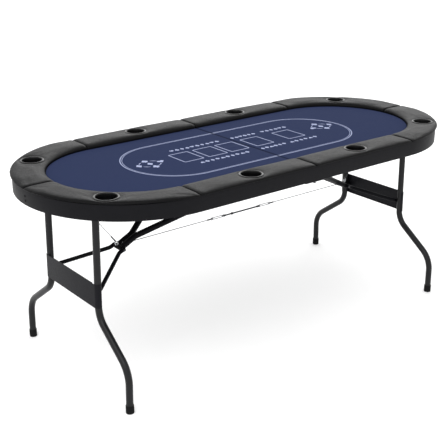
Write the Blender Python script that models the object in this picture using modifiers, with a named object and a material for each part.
"""Folding oval card table with a padded rail, eight cup holders, two folding leg frames and a tension cable.

Metres, +Z up. The origin is on the floor under the middle of the table. +X runs along the table towards its
right end, and the table folds in half about a hinge line along Y at x = 0, under the aprons.
"""

import math

import bmesh
import bpy
from mathutils import Matrix, Vector

# Table outline: two semicircles joined by straight sides
TABLE_LENGTH = 1.854
TABLE_WIDTH = 0.838
TABLE_HEIGHT = 0.7405
END_RADIUS = TABLE_WIDTH / 2
HALF_STRAIGHT = (TABLE_LENGTH - TABLE_WIDTH) / 2
FOLD_GAP = 0.0005
CLEARANCE = 0.0003
ARC_STEPS = 14

# Layers of the top, from the rail down to the apron's lower edge
FELT_TOP = 0.7235
FELT_THICKNESS = 0.005
BOARD_TOP = 0.7182
BOARD_THICKNESS = 0.012
BOARD_BOTTOM = BOARD_TOP - BOARD_THICKNESS
APRON_BOTTOM = 0.6742
APRON_TOP = 0.7295
APRON_THICKNESS = 0.0065
APRON_INSET = 0.0105
BOARD_INSET = APRON_INSET + APRON_THICKNESS + CLEARANCE

# Padded rail
RAIL_WIDTH = 0.126
RAIL_OUTER_ROUND = 0.030
RAIL_OUTER_DROP = 0.0085
RAIL_INNER_ROUND = 0.026
RAIL_INNER_DROP = 0.015
RAIL_LIP_BOTTOM = APRON_TOP + CLEARANCE
RAIL_LIP_POINT = (0.0012, 0.7305)
RAIL_BASE = BOARD_TOP + CLEARANCE
SEAM_ANGLE = math.radians(0.05)

# Cup holders
CUP_INSET = 0.063
CUP_ALONG = 0.2535
CUP_END_ANGLE = math.radians(45)
CUP_WALL_RADIUS = 0.0370
CUP_OPENING_RADIUS = 0.0357
CUP_FLANGE_RADIUS = 0.0432
CUP_FLANGE_TOP = 0.7410
CUP_FLANGE_SHEET = 0.0017
CUP_BOTTOM = 0.7028
CUP_FLOOR = 0.0018
CUP_HOLE_RADIUS = CUP_WALL_RADIUS + 0.0005
CUP_SEGMENTS = 24
RECESS_CUTTER_DEPTH = 0.02

# Leg frames: one bent tube each, pivoting on its own cross bar under the board
LEG_PIVOT_X = 0.753
LEG_PIVOT_Z = 0.6885
LEG_FOOT_X = 0.766
LEG_TUBE_RADIUS = 0.0125
LEG_NEAR_Y = 0.165
LEG_FAR_Y = 0.348
LEG_BEND_TOP_Z = 0.284
LEG_BEND_LOW_Z = 0.1522
LEG_TOP_BEND_RADIUS = 0.080
LEG_LOW_BEND_RADIUS = 0.10
LEG_CORNER_RADIUS = 0.032
LEG_END_Z = 0.0045
LEG_UPRIGHT_Z = 0.045

FOOT_CAP_RADIUS = 0.0145
FOOT_CAP_HEIGHT = 0.030
FOOT_CAP_FLOOR = 0.0035

# Pressed cross plate outside each pair of legs
PLATE_LOW_Z = 0.320
PLATE_HIGH_Z = 0.408
PLATE_SHEET = 0.0012
PLATE_OFFSET = LEG_TUBE_RADIUS + 0.0006
PLATE_WRAP_ANGLE = math.radians(120)
PLATE_WRAP_STEPS = 6
PLATE_FLANGE_HALF = 0.150
PLATE_FLANGE_DEPTH = 0.0026

# Braces: a lower pair of arms on the leg frame and an upper pair on the board, meeting at the hub
HUB_X = 0.570
HUB_Z = 0.438
LOWER_PIVOT_X = 0.757
LOWER_PIVOT_Z = 0.363
UPPER_PIVOT_X = 0.067
UPPER_PIVOT_Z = LEG_PIVOT_Z
UPPER_ARM_RADIUS = 0.0112
LOWER_ARM_RADIUS = 0.0074
UPPER_ARM_HUB_Y = 0.0130
UPPER_ARM_TOP_Y = 0.2505
LOWER_ARM_HUB_Y = 0.0319
LOWER_ARM_LEG_Y = 0.1443
HUB_RADIUS = 0.0095
HUB_HALF_LENGTH = 0.0239
ARM_OVERRUN = 0.006
UPPER_ARM_PARALLEL = 0.070
UPPER_ARM_END_STRAIGHT = 0.022
LOWER_ARM_END_STRAIGHT = 0.020

# Brackets under the board
CLAMP_Y = 0.110
CLAMP_HALF_LENGTH = 0.013
CLAMP_SHEET = 0.0022
CLAMP_FLANGE = 0.030
BRACKET_HALF_LENGTH = 0.016
BRACKET_SHEET = 0.002
BRACKET_BASE = 0.026
BRACKET_TOP = BOARD_BOTTOM - 0.0004

# Fold hinges under the aprons
FOLD_AXIS_Z = 0.6702
HINGE_KNUCKLE_RADIUS = 0.0035
HINGE_PIN_RADIUS = 0.0015
HINGE_LEAF_LENGTH = 0.045
HINGE_LEAF_LOW_Z = 0.6719
HINGE_LEAF_HIGH_Z = 0.6738
HINGE_WIDTH = 0.012
HINGE_INSET = 0.0109
HINGE_GAP = 0.0004

# Tension cable between the two hubs: wires with a hook and an eye, snap links, and a rod with a nut and two collars
CABLE_Z = 0.4465
CABLE_RADIUS = 0.0015
CABLE_HOOK = ((0.554, 0.0065), (0.549, 0.0024), (0.541, 0.0002), (0.533, 0.0))
SLEEVE_RADIUS = 0.0028
SLEEVE_OUTER_X = 0.170
SLEEVE_INNER_X = 0.1505
EYE_RADIUS = 0.0045
EYE_WIRE_RADIUS = 0.0015
CABLE_EYE_X = 0.147
ROD_EYE_X = 0.0925
ROD_END_X = 0.0885
ROD_RADIUS = 0.0030
ROD_NUT_RADIUS = 0.0048
ROD_NUT_X = -0.0475
ROD_NUT_HALF = 0.004
ROD_COLLAR_RADIUS = 0.0042
ROD_COLLAR_LENGTH = 0.009
ROD_CHAMFER = 0.001
LINK_HALF_WIDTH = 0.0075
LINK_WIRE_RADIUS = 0.0018

# Stays from the hubs to the leg frames' pivot bars
STAY_RADIUS = 0.0013
STAY_LOW = (0.582, 0.462)
STAY_END_GAP = 0.0145


def clear_scene():
    for old in list(bpy.data.objects):
        bpy.data.objects.remove(old, do_unlink=True)


def make_collection(name, hidden=False):
    collection = bpy.data.collections.new(name)
    bpy.context.scene.collection.children.link(collection)
    collection.hide_render = hidden
    return collection


def make_material(name, colour, roughness, metallic=0.0):
    material = bpy.data.materials.new(name)
    material.use_nodes = True
    shader = material.node_tree.nodes["Principled BSDF"]
    shader.inputs["Base Color"].default_value = (*colour, 1.0)
    shader.inputs["Roughness"].default_value = roughness
    shader.inputs["Metallic"].default_value = metallic
    material.diffuse_color = (*colour, 1.0)
    return material


def add_object(name, data, material, collection=None):
    obj = bpy.data.objects.new(name, data)
    (collection or PARTS).objects.link(obj)
    if material:
        data.materials.clear()
        data.materials.append(material)
    return obj


def shade_round(obj, angle=40):
    obj.data.shade_smooth()
    obj.data.set_sharp_from_angle(angle=math.radians(angle))


def mesh_from_bmesh(name, bm):
    bmesh.ops.recalc_face_normals(bm, faces=bm.faces[:])
    mesh = bpy.data.meshes.new(name)
    bm.to_mesh(mesh)
    bm.free()
    return mesh


def baked(obj):
    """Replaces a curve, or a mesh with modifiers, by the plain mesh that it evaluates to."""
    bpy.context.view_layer.update()
    graph = bpy.context.evaluated_depsgraph_get()
    mesh = bpy.data.meshes.new_from_object(obj.evaluated_get(graph))
    name, place, material = obj.name, obj.matrix_world.copy(), obj.data.materials[0]
    bpy.data.objects.remove(obj, do_unlink=True)
    bm = bmesh.new()
    bm.from_mesh(mesh)
    bmesh.ops.remove_doubles(bm, verts=bm.verts[:], dist=1e-5)
    bmesh.ops.recalc_face_normals(bm, faces=bm.faces[:])
    bm.to_mesh(mesh)
    bm.free()
    mesh.name = name
    result = add_object(name, mesh, material)
    result.matrix_world = place
    shade_round(result)
    return result


def set_origin(obj, point):
    """Moves the object's origin to a world point and leaves its shape where it is."""
    offset = obj.matrix_world.inverted() @ Vector(point)
    obj.data.transform(Matrix.Translation(-offset))
    obj.location = Vector(point)
    bpy.context.view_layer.update()


def mirrored(obj, name, flip_x=False, flip_y=False):
    """A copy on the other side, which shares the mesh."""
    copy = bpy.data.objects.new(name, obj.data)
    PARTS.objects.link(copy)
    sx = -1.0 if flip_x else 1.0
    sy = -1.0 if flip_y else 1.0
    copy.location = (sx * obj.location.x, sy * obj.location.y, obj.location.z)
    copy.scale = (sx, sy, 1.0)
    return copy


def flat_shape(name, outlines, half_thickness, material, location, rotation=(0.0, 0.0, 0.0)):
    """A flat outline, with any holes as further outlines, given a thickness about its own plane."""
    curve = bpy.data.curves.new(name, "CURVE")
    curve.dimensions = "2D"
    curve.fill_mode = "BOTH"
    curve.extrude = half_thickness
    for outline in outlines:
        spline = curve.splines.new("POLY")
        spline.points.add(len(outline) - 1)
        for point, (x, y) in zip(spline.points, outline):
            point.co = (x, y, 0.0, 1.0)
        spline.use_cyclic_u = True
    obj = add_object(name, curve, material)
    obj.location = location
    obj.rotation_euler = rotation
    return baked(obj)


def tube(name, points, radius, material, resolution=2, cyclic=False):
    curve = bpy.data.curves.new(name, "CURVE")
    curve.dimensions = "3D"
    curve.bevel_depth = radius
    curve.bevel_resolution = resolution
    curve.use_fill_caps = not cyclic
    spline = curve.splines.new("POLY")
    spline.points.add(len(points) - 1)
    for target, point in zip(spline.points, points):
        target.co = (*point, 1.0)
    spline.use_cyclic_u = cyclic
    return baked(add_object(name, curve, material))


def turned(name, profile, steps, material, location, rotation=(0.0, 0.0, 0.0)):
    """A profile of (radius, height) points turned about the local Z axis."""
    mesh = bpy.data.meshes.new(name)
    edges = [(i, i + 1) for i in range(len(profile) - 1)]
    mesh.from_pydata([(r, 0.0, z) for r, z in profile], edges, [])
    obj = add_object(name, mesh, material)
    screw = obj.modifiers.new("turn", "SCREW")
    screw.axis = "Z"
    screw.steps = steps
    screw.render_steps = steps
    screw.use_merge_vertices = True
    screw.merge_threshold = 0.0001
    obj.location = location
    obj.rotation_euler = rotation
    return baked(obj)


def box_mesh(bm, low, high):
    low, high = Vector(low), Vector(high)
    middle, size = (low + high) / 2, high - low
    place = Matrix.Translation(middle) @ Matrix.Diagonal((*size, 1.0))
    bmesh.ops.create_cube(bm, size=1.0, matrix=place)


def box_object(name, low, high, material=None, collection=None):
    bm = bmesh.new()
    box_mesh(bm, low, high)
    return add_object(name, mesh_from_bmesh(name, bm), material, collection)


def cylinder_object(name, centre, radius, length, axis, segments, material=None, collection=None):
    """A cylinder along the world axis 'X', 'Y' or 'Z'."""
    turn = {"X": Matrix.Rotation(math.pi / 2, 4, "Y"), "Y": Matrix.Rotation(math.pi / 2, 4, "X")}
    bm = bmesh.new()
    bmesh.ops.create_cone(
        bm,
        cap_ends=True,
        segments=segments,
        radius1=radius,
        radius2=radius,
        depth=length,
        matrix=Matrix.Translation(Vector(centre)) @ turn.get(axis, Matrix.Identity(4)),
    )
    return add_object(name, mesh_from_bmesh(name, bm), material, collection)


def as_cutter(obj):
    obj.display_type = "WIRE"
    obj.hide_render = True
    return obj


def combine(obj, others, operation):
    """Joins the others to obj, or cuts them from it, and keeps the result as a plain mesh."""
    for index, other in enumerate(others):
        as_cutter(other)
        step = obj.modifiers.new(f"{operation}_{index}".lower(), "BOOLEAN")
        step.operation = operation
        step.solver = "EXACT"
        step.object = other
    result = baked(obj)
    for other in others:
        bpy.data.objects.remove(other, do_unlink=True)
    return result


def rounded_path(corners, radii, steps=5):
    """A polyline through the corners, with each inner corner replaced by an arc of its own radius."""
    points = [Vector(corners[0])]
    for i in range(1, len(corners) - 1):
        before, here, after = (Vector(corners[k]) for k in (i - 1, i, i + 1))
        into, out = (before - here).normalized(), (after - here).normalized()
        half = math.acos(max(-1.0, min(1.0, into.dot(out)))) / 2
        reach = radii[i - 1] / math.tan(half)
        middle = here + (into + out).normalized() * (radii[i - 1] / math.sin(half))
        start = (here + into * reach - middle).normalized()
        stop = (here + out * reach - middle).normalized()
        for k in range(steps + 1):
            points.append(middle + start.slerp(stop, k / steps) * radii[i - 1])
    points.append(Vector(corners[-1]))
    return [tuple(p) for p in points]


def half_outline(inset):
    """Left half of the table's outline, moved inwards, from the fold's front end round to its back end."""
    radius = END_RADIUS - inset
    points = [(-FOLD_GAP, -radius)]
    for k in range(2 * ARC_STEPS + 1):
        angle = -math.pi / 2 - math.pi * k / (2 * ARC_STEPS)
        points.append((-HALF_STRAIGHT + radius * math.cos(angle), radius * math.sin(angle)))
    points.append((-FOLD_GAP, radius))
    return points


def circle(centre, radius, segments=CUP_SEGMENTS):
    turn = 2 * math.pi / segments
    return [
        (centre[0] + radius * math.cos(turn * k), centre[1] + radius * math.sin(turn * k))
        for k in range(segments)
    ]


def cup_places():
    """Cup holder centres of the left front quarter: beside the straight side, and on the rounded end."""
    radius = END_RADIUS - CUP_INSET
    middle = (-CUP_ALONG, -radius)
    end = (-HALF_STRAIGHT - radius * math.sin(CUP_END_ANGLE), -radius * math.cos(CUP_END_ANGLE))
    return {"middle": middle, "end": end}


def make_board():
    holes = []
    for x, y in cup_places().values():
        holes += [circle((x, y), CUP_HOLE_RADIUS), circle((x, -y), CUP_HOLE_RADIUS)]
    middle = BOARD_BOTTOM + BOARD_THICKNESS / 2
    outline = half_outline(BOARD_INSET)
    left = flat_shape("board_left", [outline] + holes, BOARD_THICKNESS / 2, BOARD, (0, 0, middle))
    mirrored(left, "board_right", flip_x=True)


def make_felt():
    middle = FELT_TOP - FELT_THICKNESS / 2
    outline = half_outline(RAIL_WIDTH + 0.0004)
    left = flat_shape("felt_left", [outline], FELT_THICKNESS / 2, FELT, (0, 0, middle))
    mirrored(left, "felt_right", flip_x=True)


def make_apron():
    outer = half_outline(APRON_INSET)
    inner = half_outline(APRON_INSET + APRON_THICKNESS)
    outline = outer + inner[::-1]
    height = APRON_TOP - APRON_BOTTOM
    middle = APRON_BOTTOM + height / 2
    left = flat_shape("apron_left", [outline], height / 2, APRON, (0, 0, middle))
    mirrored(left, "apron_right", flip_x=True)


def rail_section():
    """The rail's section as (distance in from the table's edge, height) points."""
    step = APRON_INSET + APRON_THICKNESS + CLEARANCE
    points = [(RAIL_WIDTH, RAIL_BASE), (step, RAIL_BASE), (step, RAIL_LIP_BOTTOM)]
    points += [(0.0045, RAIL_LIP_BOTTOM), RAIL_LIP_POINT]
    for k in range(6):
        angle = math.pi / 2 * k / 5
        inward = RAIL_OUTER_ROUND * (1 - math.cos(angle))
        points.append((inward, TABLE_HEIGHT - RAIL_OUTER_DROP * (1 - math.sin(angle))))
    for k in range(5):
        angle = math.pi / 2 * k / 4
        inward = RAIL_WIDTH - RAIL_INNER_ROUND * (1 - math.sin(angle))
        points.append((inward, TABLE_HEIGHT - RAIL_INNER_DROP * (1 - math.cos(angle))))
    return points


def section_face(bm, x):
    """The rail's section as one face in the plane at x, on the table's front side."""
    verts = [bm.verts.new((x, -(END_RADIUS - d), z)) for d, z in rail_section()]
    return bm.faces.new(verts)


def make_rail_pads():
    places = cup_places()
    bm = bmesh.new()
    face = section_face(bm, -FOLD_GAP)
    grown = bmesh.ops.extrude_face_region(bm, geom=[face])
    moved = [v for v in grown["geom"] if isinstance(v, bmesh.types.BMVert)]
    bmesh.ops.translate(bm, verts=moved, vec=(-HALF_STRAIGHT + CLEARANCE + FOLD_GAP, 0, 0))
    straight = add_object("rail_pad_left_front_side", mesh_from_bmesh("rail_pad_side", bm), VINYL)

    bm = bmesh.new()
    face = section_face(bm, -HALF_STRAIGHT)
    centre = Vector((-HALF_STRAIGHT, 0, 0))
    bmesh.ops.rotate(bm, verts=face.verts[:], cent=centre, matrix=Matrix.Rotation(-SEAM_ANGLE, 3, "Z"))
    bmesh.ops.spin(
        bm,
        geom=[face],
        cent=centre,
        axis=(0, 0, 1),
        angle=-(math.pi / 2 - 2 * SEAM_ANGLE),
        steps=ARC_STEPS,
        use_duplicate=False,
    )
    corner = add_object("rail_pad_left_front_end", mesh_from_bmesh("rail_pad_end", bm), VINYL)

    for pad, kind in ((straight, "middle"), (corner, "end")):
        x, y = places[kind]
        hole = cylinder_object(
            "cup_cutter", (x, y, TABLE_HEIGHT), CUP_HOLE_RADIUS, 0.1, "Z", CUP_SEGMENTS, None, CUTTERS
        )
        low = CUP_FLANGE_TOP - CUP_FLANGE_SHEET - CLEARANCE
        recess = cylinder_object(
            "flange_recess_cutter",
            (x, y, low + RECESS_CUTTER_DEPTH / 2),
            CUP_FLANGE_RADIUS + CLEARANCE,
            RECESS_CUTTER_DEPTH,
            "Z",
            CUP_SEGMENTS,
            None,
            CUTTERS,
        )
        pad = combine(pad, [hole, recess], "DIFFERENCE")
        stem = pad.name.replace("left_front", "{}_{}")
        mirrored(pad, stem.format("left", "back"), flip_y=True)
        mirrored(pad, stem.format("right", "front"), flip_x=True)
        mirrored(pad, stem.format("right", "back"), flip_x=True, flip_y=True)


def make_cups():
    rim = CUP_FLANGE_TOP - CUP_FLANGE_SHEET
    profile = [
        (0.0, CUP_BOTTOM + CUP_FLOOR),
        (CUP_OPENING_RADIUS - 0.006, CUP_BOTTOM + CUP_FLOOR),
        (CUP_OPENING_RADIUS - 0.001, CUP_BOTTOM + CUP_FLOOR + 0.006),
        (CUP_OPENING_RADIUS, CUP_FLANGE_TOP),
        (CUP_FLANGE_RADIUS - 0.001, CUP_FLANGE_TOP),
        (CUP_FLANGE_RADIUS, rim),
        (CUP_WALL_RADIUS, rim),
        (CUP_WALL_RADIUS - 0.001, CUP_BOTTOM + 0.006),
        (CUP_OPENING_RADIUS - 0.005, CUP_BOTTOM),
        (0.0, CUP_BOTTOM),
    ]
    first = None
    for kind, (x, y) in cup_places().items():
        for side, sx in (("left", 1), ("right", -1)):
            for row, sy in (("front", 1), ("back", -1)):
                name = f"cup_holder_{side}_{row}_{kind}"
                place = (sx * x, sy * y, 0.0)
                if first is None:
                    first = turned(name, profile, CUP_SEGMENTS, CUP, place)
                    continue
                cup = bpy.data.objects.new(name, first.data)
                PARTS.objects.link(cup)
                cup.location = place


def leg_x(z):
    """The leg's centre line, which leans outwards towards the foot."""
    if z <= LEG_UPRIGHT_Z:
        return -LEG_FOOT_X
    share = (LEG_PIVOT_Z - z) / (LEG_PIVOT_Z - LEG_UPRIGHT_Z)
    return -(LEG_PIVOT_X + (LEG_FOOT_X - LEG_PIVOT_X) * share)


def make_leg_frame():
    """Front foot, up its leg, across the pivot bar and down the back leg, as one bent tube."""
    corners = [
        (-LEG_FAR_Y, LEG_END_Z),
        (-LEG_FAR_Y, LEG_BEND_LOW_Z),
        (-LEG_NEAR_Y, LEG_BEND_TOP_Z),
        (-LEG_NEAR_Y, LEG_PIVOT_Z),
        (LEG_NEAR_Y, LEG_PIVOT_Z),
        (LEG_NEAR_Y, LEG_BEND_TOP_Z),
        (LEG_FAR_Y, LEG_BEND_LOW_Z),
        (LEG_FAR_Y, LEG_END_Z),
    ]
    down = [LEG_LOW_BEND_RADIUS, LEG_TOP_BEND_RADIUS, LEG_CORNER_RADIUS]
    radii = down + down[::-1]
    flat = rounded_path([(0.0, y, z) for y, z in corners], radii, steps=6)
    upright = [(0.0, -LEG_FAR_Y, LEG_UPRIGHT_Z), (0.0, LEG_FAR_Y, LEG_UPRIGHT_Z)]
    flat = [flat[0], upright[0]] + flat[1:-1] + [upright[1], flat[-1]]
    path = [(leg_x(z), y, z) for _, y, z in flat]
    frame = tube("leg_frame_left", path, LEG_TUBE_RADIUS, STEEL, resolution=3)
    set_origin(frame, (-LEG_PIVOT_X, 0, LEG_PIVOT_Z))
    mirrored(frame, "leg_frame_right", flip_x=True)


def make_foot_caps():
    inner = LEG_TUBE_RADIUS + CLEARANCE
    profile = [
        (0.0, FOOT_CAP_FLOOR),
        (inner, FOOT_CAP_FLOOR),
        (inner, FOOT_CAP_HEIGHT),
        (FOOT_CAP_RADIUS - 0.0006, FOOT_CAP_HEIGHT),
        (FOOT_CAP_RADIUS, FOOT_CAP_HEIGHT - 0.001),
        (FOOT_CAP_RADIUS, 0.0012),
        (FOOT_CAP_RADIUS - 0.0012, 0.0),
        (0.0, 0.0),
    ]
    place = (-LEG_FOOT_X, -LEG_FAR_Y, 0.0)
    cap = turned("foot_cap_left_front", profile, 20, RUBBER, place)
    set_origin(cap, (-LEG_PIVOT_X, 0, LEG_PIVOT_Z))
    mirrored(cap, "foot_cap_left_back", flip_y=True)
    mirrored(cap, "foot_cap_right_front", flip_x=True)
    mirrored(cap, "foot_cap_right_back", flip_x=True, flip_y=True)


def make_cross_plate():
    """Pressed sheet outside the legs: a web with two edge flanges, and ends that wrap round the tubes."""
    middle_z = (PLATE_LOW_Z + PLATE_HIGH_Z) / 2
    centre_x = leg_x(middle_z)
    web_x = centre_x - PLATE_OFFSET
    outline = []
    for radius, order in ((PLATE_OFFSET + PLATE_SHEET, 1), (PLATE_OFFSET, -1)):
        wrap = []
        for k in range(PLATE_WRAP_STEPS + 1):
            angle = PLATE_WRAP_ANGLE * k / PLATE_WRAP_STEPS
            wrap.append((centre_x - radius * math.cos(angle), LEG_NEAR_Y + radius * math.sin(angle)))
        line = [(x, -y) for x, y in reversed(wrap)] + wrap
        outline += line[::order]
    half_height = (PLATE_HIGH_Z - PLATE_LOW_Z) / 2
    plate = flat_shape("cross_plate_left", [outline], half_height, STEEL, (0, 0, middle_z))
    others = []
    for low in (PLATE_LOW_Z, PLATE_HIGH_Z - PLATE_SHEET):
        others.append(
            box_object(
                "flange_cutter",
                (web_x - PLATE_SHEET / 2, -PLATE_FLANGE_HALF, low),
                (web_x + PLATE_FLANGE_DEPTH, PLATE_FLANGE_HALF, low + PLATE_SHEET),
                None,
                CUTTERS,
            )
        )
    plate = combine(plate, others, "UNION")
    lean = math.atan((LEG_FOOT_X - LEG_PIVOT_X) / (LEG_PIVOT_Z - LEG_UPRIGHT_Z))
    set_origin(plate, (centre_x, 0, middle_z))
    plate.data.transform(Matrix.Rotation(lean, 4, "Y"))
    set_origin(plate, (-LEG_PIVOT_X, 0, LEG_PIVOT_Z))
    mirrored(plate, "cross_plate_right", flip_x=True)


def along(start, stop, distance):
    """The (x, z) point a distance from start towards stop."""
    start, stop = Vector(start), Vector(stop)
    return start + (stop - start).normalized() * distance


def make_upper_arms():
    hub, pivot = (-HUB_X, HUB_Z), (-UPPER_PIVOT_X, UPPER_PIVOT_Z)
    length = (Vector(pivot) - Vector(hub)).length
    stations = [
        (HUB_RADIUS + CLEARANCE, UPPER_ARM_HUB_Y),
        (UPPER_ARM_PARALLEL, UPPER_ARM_HUB_Y),
        (length - UPPER_ARM_END_STRAIGHT, UPPER_ARM_TOP_Y),
        (length + ARM_OVERRUN, UPPER_ARM_TOP_Y),
    ]
    corners = []
    for distance, y in stations:
        x, z = along(hub, pivot, distance)
        corners.append((x, -y, z))
    path = rounded_path(corners, [0.03, 0.03], steps=4)
    arm = tube("upper_brace_arm_left_front", path, UPPER_ARM_RADIUS, STEEL, resolution=2)
    set_origin(arm, (-UPPER_PIVOT_X, 0, UPPER_PIVOT_Z))
    mirrored(arm, "upper_brace_arm_left_back", flip_y=True)
    mirrored(arm, "upper_brace_arm_right_front", flip_x=True)
    mirrored(arm, "upper_brace_arm_right_back", flip_x=True, flip_y=True)


def make_lower_arms():
    hub, pivot = (-HUB_X, HUB_Z), (-LOWER_PIVOT_X, LOWER_PIVOT_Z)
    length = (Vector(pivot) - Vector(hub)).length
    stations = [
        (-ARM_OVERRUN, LOWER_ARM_HUB_Y),
        (LOWER_ARM_END_STRAIGHT, LOWER_ARM_HUB_Y),
        (length - LOWER_ARM_END_STRAIGHT, LOWER_ARM_LEG_Y),
        (length + ARM_OVERRUN, LOWER_ARM_LEG_Y),
    ]
    corners = []
    for distance, y in stations:
        x, z = along(hub, pivot, distance)
        corners.append((x, -y, z))
    path = rounded_path(corners, [0.02, 0.02], steps=4)
    arm = tube("lower_brace_arm_left_front", path, LOWER_ARM_RADIUS, STEEL, resolution=2)
    set_origin(arm, (-LOWER_PIVOT_X, 0, LOWER_PIVOT_Z))
    mirrored(arm, "lower_brace_arm_left_back", flip_y=True)
    mirrored(arm, "lower_brace_arm_right_front", flip_x=True)
    mirrored(arm, "lower_brace_arm_right_back", flip_x=True, flip_y=True)


def make_hubs():
    place = (-HUB_X, 0, HUB_Z)
    hub = cylinder_object("brace_hub_left", place, HUB_RADIUS, 2 * HUB_HALF_LENGTH, "Y", 20, STEEL)
    shade_round(hub)
    set_origin(hub, (-UPPER_PIVOT_X, 0, UPPER_PIVOT_Z))
    mirrored(hub, "brace_hub_right", flip_x=True)


def make_pivot_clamps():
    """Straps that hold the leg frame's cross bar up against the board."""
    inner, outer = LEG_TUBE_RADIUS + CLEARANCE, LEG_TUBE_RADIUS + CLEARANCE + CLAMP_SHEET
    top = BRACKET_TOP - LEG_PIVOT_Z
    low = top - CLAMP_SHEET
    outline = [(-CLAMP_FLANGE, top), (-inner, top)]
    for k in range(9):
        angle = math.pi + math.pi * k / 8
        outline.append((inner * math.cos(angle), inner * math.sin(angle)))
    outline += [(inner, top), (CLAMP_FLANGE, top), (CLAMP_FLANGE, low), (outer, low)]
    for k in range(9):
        angle = -math.pi * k / 8
        outline.append((outer * math.cos(angle), outer * math.sin(angle)))
    outline += [(-outer, low), (-CLAMP_FLANGE, low)]
    place = (-LEG_PIVOT_X, -CLAMP_Y, LEG_PIVOT_Z)
    upright = (math.pi / 2, 0, 0)
    clamp = flat_shape("pivot_clamp_left_front", [outline], CLAMP_HALF_LENGTH, STEEL, place, upright)
    clamp.data.transform(Matrix.Rotation(math.pi / 2, 4, "X"))
    clamp.rotation_euler = (0, 0, 0)
    mirrored(clamp, "pivot_clamp_left_back", flip_y=True)
    mirrored(clamp, "pivot_clamp_right_front", flip_x=True)
    mirrored(clamp, "pivot_clamp_right_back", flip_x=True, flip_y=True)


def make_brace_brackets():
    """L-shaped brackets under the board, each with one ear beside the end of an upper brace arm."""
    ear_y = UPPER_ARM_TOP_Y + UPPER_ARM_RADIUS + 0.0015
    low = UPPER_PIVOT_Z - 0.011
    outline = [
        (-(ear_y + BRACKET_SHEET), low),
        (-ear_y, low),
        (-ear_y, BRACKET_TOP - BRACKET_SHEET),
        (-(ear_y + BRACKET_SHEET - BRACKET_BASE), BRACKET_TOP - BRACKET_SHEET),
        (-(ear_y + BRACKET_SHEET - BRACKET_BASE), BRACKET_TOP),
        (-(ear_y + BRACKET_SHEET), BRACKET_TOP),
    ]
    place = (-UPPER_PIVOT_X, 0, 0)
    turn = Matrix.Rotation(math.pi / 2, 4, "Z") @ Matrix.Rotation(math.pi / 2, 4, "X")
    bracket = flat_shape("brace_bracket_left_front", [outline], BRACKET_HALF_LENGTH, STEEL, place)
    bracket.data.transform(turn)
    mirrored(bracket, "brace_bracket_left_back", flip_y=True)
    mirrored(bracket, "brace_bracket_right_front", flip_x=True)
    mirrored(bracket, "brace_bracket_right_back", flip_x=True, flip_y=True)


def make_fold_hinges():
    """A hinge under each apron: two outer knuckles and the pin on the left leaf, one knuckle on the right."""
    outer_y = END_RADIUS - HINGE_INSET
    third = HINGE_WIDTH / 3
    leaf_x = HINGE_KNUCKLE_RADIUS + 0.0006
    sheet = HINGE_LEAF_HIGH_Z - HINGE_LEAF_LOW_Z
    for side, sx in (("left", -1), ("right", 1)):
        ends = sorted((sx * leaf_x, sx * HINGE_LEAF_LENGTH))
        low = (ends[0], -outer_y, HINGE_LEAF_LOW_Z)
        high = (ends[1], -outer_y + HINGE_WIDTH, HINGE_LEAF_HIGH_Z)
        leaf = box_object(f"fold_hinge_leaf_{side}_front", low, high, STEEL)
        starts = [0, 2] if side == "left" else [1]
        others = []
        for start in starts:
            low_y = -outer_y + start * third + (HINGE_GAP if start else 0)
            high_y = -outer_y + (start + 1) * third - (HINGE_GAP if start < 2 else 0)
            middle = (0, (low_y + high_y) / 2, FOLD_AXIS_Z)
            others.append(
                cylinder_object(
                    "knuckle_cutter",
                    middle,
                    HINGE_KNUCKLE_RADIUS,
                    high_y - low_y,
                    "Y",
                    16,
                    None,
                    CUTTERS,
                )
            )
            reach = sorted((0, sx * (leaf_x + 0.002)))
            top = HINGE_LEAF_HIGH_Z - sheet * 0.25
            others.append(
                box_object(
                    "tongue_cutter",
                    (reach[0], low_y, HINGE_LEAF_LOW_Z),
                    (reach[1], high_y, top),
                    None,
                    CUTTERS,
                )
            )
        place = (0, -outer_y + HINGE_WIDTH / 2, FOLD_AXIS_Z)
        if side == "left":
            pin = cylinder_object(
                "pin_cutter", place, HINGE_PIN_RADIUS, HINGE_WIDTH - 0.001, "Y", 12, None, CUTTERS
            )
            leaf = combine(leaf, others + [pin], "UNION")
        else:
            leaf = combine(leaf, others, "UNION")
            bore = cylinder_object(
                "bore_cutter", place, HINGE_PIN_RADIUS + CLEARANCE, HINGE_WIDTH, "Y", 12, None, CUTTERS
            )
            leaf = combine(leaf, [bore], "DIFFERENCE")
        set_origin(leaf, (0, 0, FOLD_AXIS_Z))
        mirrored(leaf, f"fold_hinge_leaf_{side}_back", flip_y=True)


def eye(name, x):
    """A small upright ring that a link passes through."""
    turn = 2 * math.pi / 12
    points = []
    for k in range(12):
        angle = turn * (k + 0.5)
        points.append((x + EYE_RADIUS * math.cos(angle), 0.0, CABLE_Z + EYE_RADIUS * math.sin(angle)))
    return tube(name, points, EYE_WIRE_RADIUS, STEEL, resolution=1, cyclic=True)


def make_cables():
    points = [(-x, 0.0, CABLE_Z + rise) for x, rise in CABLE_HOOK]
    points.append((-SLEEVE_OUTER_X + SLEEVE_RADIUS, 0.0, CABLE_Z))
    wire = tube("tension_cable_left", points, CABLE_RADIUS, CABLE)
    sleeve_x = -(SLEEVE_OUTER_X + SLEEVE_INNER_X) / 2
    sleeve = cylinder_object(
        "sleeve_cutter",
        (sleeve_x, 0, CABLE_Z),
        SLEEVE_RADIUS,
        SLEEVE_OUTER_X - SLEEVE_INNER_X,
        "X",
        12,
        None,
        CUTTERS,
    )
    cable = combine(wire, [sleeve, eye("eye_cutter", -CABLE_EYE_X)], "UNION")
    mirrored(cable, "tension_cable_right", flip_x=True)


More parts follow.
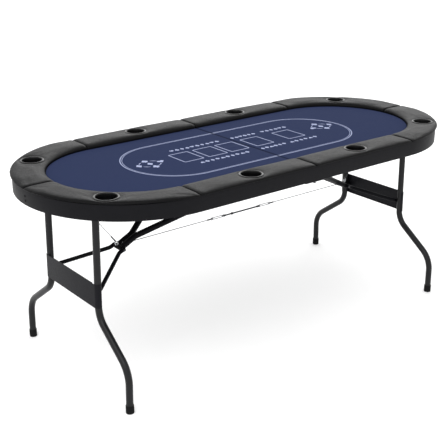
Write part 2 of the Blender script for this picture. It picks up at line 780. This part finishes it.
def make_snap_links():
    """Long wire links that lie flat and pass through the eyes at both of their ends."""
    half = (CABLE_EYE_X - ROD_EYE_X) / 2
    middle = -(CABLE_EYE_X + ROD_EYE_X) / 2
    path = []
    for k in range(16):
        angle = 2 * math.pi * (k + 0.5) / 16
        shift = math.copysign(half - LINK_HALF_WIDTH, math.cos(angle))
        path.append(
            (
                middle + shift + LINK_HALF_WIDTH * math.cos(angle),
                LINK_HALF_WIDTH * math.sin(angle),
                CABLE_Z,
            )
        )
    link = tube("snap_link_left", path, LINK_WIRE_RADIUS, CHROME, cyclic=True)
    mirrored(link, "snap_link_right", flip_x=True)


def make_tensioner():
    """A rod with one nut, and a collar and an eye on each end."""
    collar_end = ROD_END_X - ROD_COLLAR_LENGTH
    nut_high, nut_low = ROD_NUT_X + ROD_NUT_HALF, ROD_NUT_X - ROD_NUT_HALF
    profile = [
        (0.0, ROD_END_X),
        (ROD_COLLAR_RADIUS, ROD_END_X),
        (ROD_COLLAR_RADIUS, collar_end),
        (ROD_RADIUS, collar_end - ROD_CHAMFER),
        (ROD_RADIUS, nut_high + ROD_CHAMFER),
        (ROD_NUT_RADIUS, nut_high),
        (ROD_NUT_RADIUS, nut_low),
        (ROD_RADIUS, nut_low - ROD_CHAMFER),
        (ROD_RADIUS, -collar_end + ROD_CHAMFER),
        (ROD_COLLAR_RADIUS, -collar_end),
        (ROD_COLLAR_RADIUS, -ROD_END_X),
        (0.0, -ROD_END_X),
    ]
    rod = turned("cable_tensioner", profile, 12, CHROME, (0, 0, CABLE_Z), (0, math.pi / 2, 0))
    combine(rod, [eye("eye_cutter", -ROD_EYE_X), eye("eye_cutter", ROD_EYE_X)], "UNION")


def make_stays():
    low = Vector((-STAY_LOW[0], 0, STAY_LOW[1]))
    bar = Vector((-LEG_PIVOT_X, 0, LEG_PIVOT_Z))
    high = bar + (low - bar).normalized() * STAY_END_GAP
    left = tube("hub_stay_left", [tuple(low), tuple(high)], STAY_RADIUS, CABLE)
    mirrored(left, "hub_stay_right", flip_x=True)


clear_scene()
PARTS = make_collection("folding_card_table")
CUTTERS = make_collection("cutters", hidden=True)

BOARD = make_material("black_board", (0.012, 0.012, 0.013), 0.7)
FELT = make_material("navy_felt", (0.033, 0.045, 0.100), 0.95)
APRON = make_material("black_apron", (0.016, 0.016, 0.018), 0.55)
VINYL = make_material("black_vinyl", (0.020, 0.020, 0.021), 0.42)
CUP = make_material("black_plastic", (0.010, 0.010, 0.011), 0.35)
STEEL = make_material("black_powder_coat", (0.016, 0.016, 0.017), 0.45, 0.3)
RUBBER = make_material("black_rubber", (0.008, 0.008, 0.009), 0.75)
CABLE = make_material("steel_cable", (0.42, 0.43, 0.45), 0.4, 0.9)
CHROME = make_material("bright_steel", (0.62, 0.63, 0.65), 0.25, 1.0)

make_board()
make_felt()
make_apron()
make_rail_pads()
make_cups()
make_leg_frame()
make_foot_caps()
make_cross_plate()
make_upper_arms()
make_lower_arms()
make_hubs()
make_pivot_clamps()
make_brace_brackets()
make_fold_hinges()
make_cables()
make_snap_links()
make_tensioner()
make_stays()
